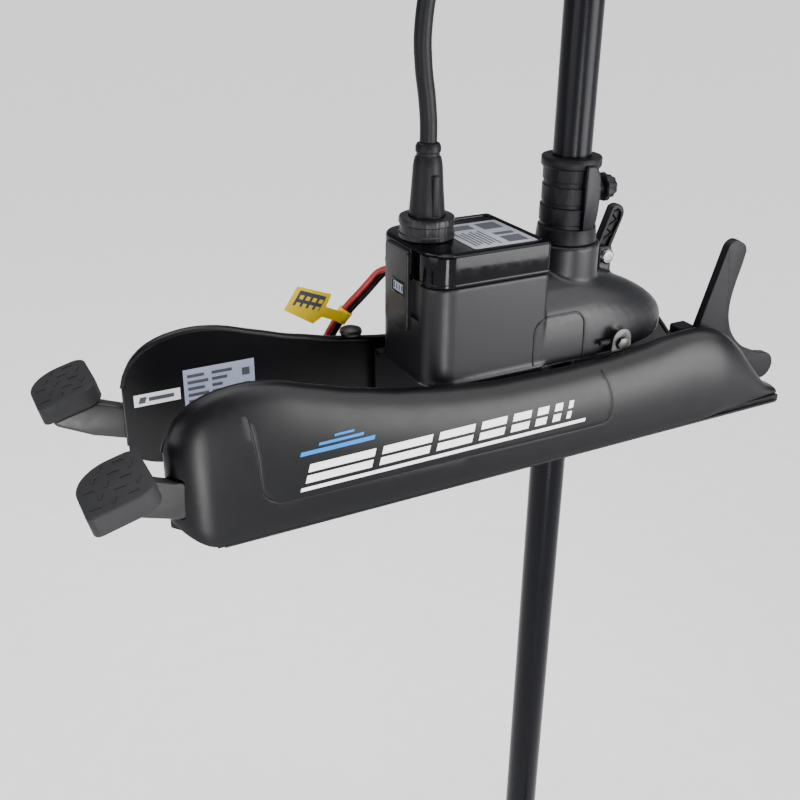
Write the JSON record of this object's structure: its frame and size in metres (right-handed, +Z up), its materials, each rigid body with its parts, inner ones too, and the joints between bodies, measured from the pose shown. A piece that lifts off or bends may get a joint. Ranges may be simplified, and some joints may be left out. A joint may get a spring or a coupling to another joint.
{
  "type": "trolling motor",
  "caption": "Bow-mount electric trolling motor: covered tilting base with rest pads, steered shaft, control head, pod motor and propeller.",
  "frame": {"origin": "centre area of the rear mounting plate's underside, on the boat's deck, 120 mm behind the shaft axis", "axes": "+Z up along the deployed shaft; +X from the rest pads towards the release lever; Y across the base, the propeller at -Y"},
  "size_m": [0.6177, 0.3701, 1.473],
  "materials": {
    "cover_plastic": "satin moulded, fine grain",
    "housing_plastic": "matte moulded",
    "lid_plastic": "glossy moulded",
    "soft_rubber": "matte rubber",
    "bronze_metal": "bronze-grey coated",
    "zinc_steel": "zinc plated",
    "chrome_steel": "polished",
    "black_tube": "satin composite tube",
    "cast_alloy": "cast, satin",
    "black_cast": "satin black coated casting",
    "black_paint": "gloss black enamel",
    "nylon": "natural nylon",
    "copper": "wound wire",
    "board_green": "coated circuit board",
    "cable_black": "satin jacket",
    "lead_red": "satin jacket",
    "tag_yellow": "printed film"
  },
  "bodies": {
    "base": {"base_rail_near": "black_cast", "base_rail_far": "black_cast", "side_cover_near": "cover_plastic", "side_cover_far": "cover_plastic", "pad_arm_near": "bronze_metal", "pad_arm_far": "bronze_metal", "foot_pad_near": "soft_rubber", "foot_pad_far": "soft_rubber", "hinge_ear_near": "zinc_steel", "hinge_ear_far": "zinc_steel", "tilt_bolt_near": "zinc_steel", "tilt_bolt_far": "zinc_steel", "rear_plate": "cast_alloy", "lever_bracket": "zinc_steel", "lever_pin": "zinc_steel", "lever_spring": "zinc_steel", "latch_guide": "black_cast", "power_lead_red": "lead_red", "power_lead_black": "cable_black", "red_coil": "lead_red", "black_coil": "cable_black", "red_terminal": "zinc_steel", "black_terminal": "zinc_steel", "lead_tag": "tag_yellow"},
    "lever": {"release_lever": "housing_plastic"},
    "latch": {"latch_bolt": "chrome_steel"},
    "carriage": {"drive_housing": "housing_plastic", "housing_lid": "lid_plastic", "housing_floor": "housing_plastic", "lower_bush": "nylon", "upper_bush": "nylon", "steering_motor": "cast_alloy", "motor_controller": "board_green", "plug_socket": "lid_plastic", "plug_boot": "soft_rubber", "motor_cable": "cable_black", "lead_gland": "soft_rubber", "clamp_screw": "chrome_steel"},
    "clamp": {"clamp_lever": "housing_plastic"},
    "drive_pinion": {"pinion": "cast_alloy"},
    "sleeve": {"steering_sleeve": "nylon", "ring_gear": "nylon", "curly_cord": "cable_black"},
    "shaft": {"shaft_tube": "black_tube", "depth_collar": "housing_plastic", "head_lower": "housing_plastic", "head_upper": "lid_plastic", "head_gland": "soft_rubber", "head_cable": "cable_black", "pod_shell": "black_paint", "nose_cone": "black_paint", "tail_bell": "black_paint", "magnet_ring": "cast_alloy"},
    "knob": {"collar_knob": "housing_plastic"},
    "button": {"power_button": "soft_rubber"},
    "screw_propeller": {"motor_shaft": "chrome_steel", "armature": "copper", "propeller": "black_paint", "prop_nut": "chrome_steel"}
  },
  "joints": [
    {"name": "tilt", "type": "hinge", "parent": "base", "child": "carriage", "pos_m": [-0.095, 0, 0.078], "axis": [0, 1, 0], "range_deg": [0, 92.8]},
    {"name": "steer", "type": "hinge", "parent": "carriage", "child": "sleeve", "pos_m": [-0.12, 0, 0.1], "axis": [0, 0, 1], "range_deg": [-180, 180]},
    {"name": "pinion_spin", "type": "hinge", "parent": "carriage", "child": "drive_pinion", "pos_m": [-0.159, 0, 0.089], "axis": [0, 0, 1], "range_deg": [-600, 600]},
    {"name": "depth", "type": "slide", "parent": "sleeve", "child": "shaft", "axis": [0, 0, 1], "range_m": [0, 0.326], "deforming": ["curly_cord"]},
    {"name": "propeller_spin", "type": "hinge", "parent": "shaft", "child": "screw_propeller", "pos_m": [-0.12, -0.162, -0.66], "axis": [0, 1, 0], "continuous": true},
    {"name": "knob_turn", "type": "hinge", "parent": "shaft", "child": "knob", "pos_m": [-0.085, -0.002, 0.193], "axis": [1, 0, 0], "continuous": true},
    {"name": "button_press", "type": "slide", "parent": "shaft", "child": "button", "axis": [0, 0, -1], "range_m": [0, 0.002], "stiffness_N_per_m": 400, "springref_m": -0.002},
    {"name": "clamp_swing", "type": "hinge", "parent": "carriage", "child": "clamp", "pos_m": [-0.072, 0.016, 0.131], "axis": [0, 1, 0], "range_deg": [0, 70]},
    {"name": "release", "type": "hinge", "parent": "base", "child": "lever", "pos_m": [0.03, -0.038, 0.035], "axis": [0, 1, 0], "range_deg": [-14, 0], "stiffness_Nm_per_rad": 0.6, "springref_deg": 20.05},
    {"name": "latch_slide", "type": "slide", "parent": "base", "child": "latch", "axis": [1, 0, 0], "range_m": [0, 0.0085]}
  ],
  "couplings": [
    {"joint": "pinion_spin", "follows": "steer", "ratio": -3.3333},
    {"joint": "latch_slide", "follows": "release", "m_per_rad": -0.0327}
  ]
}
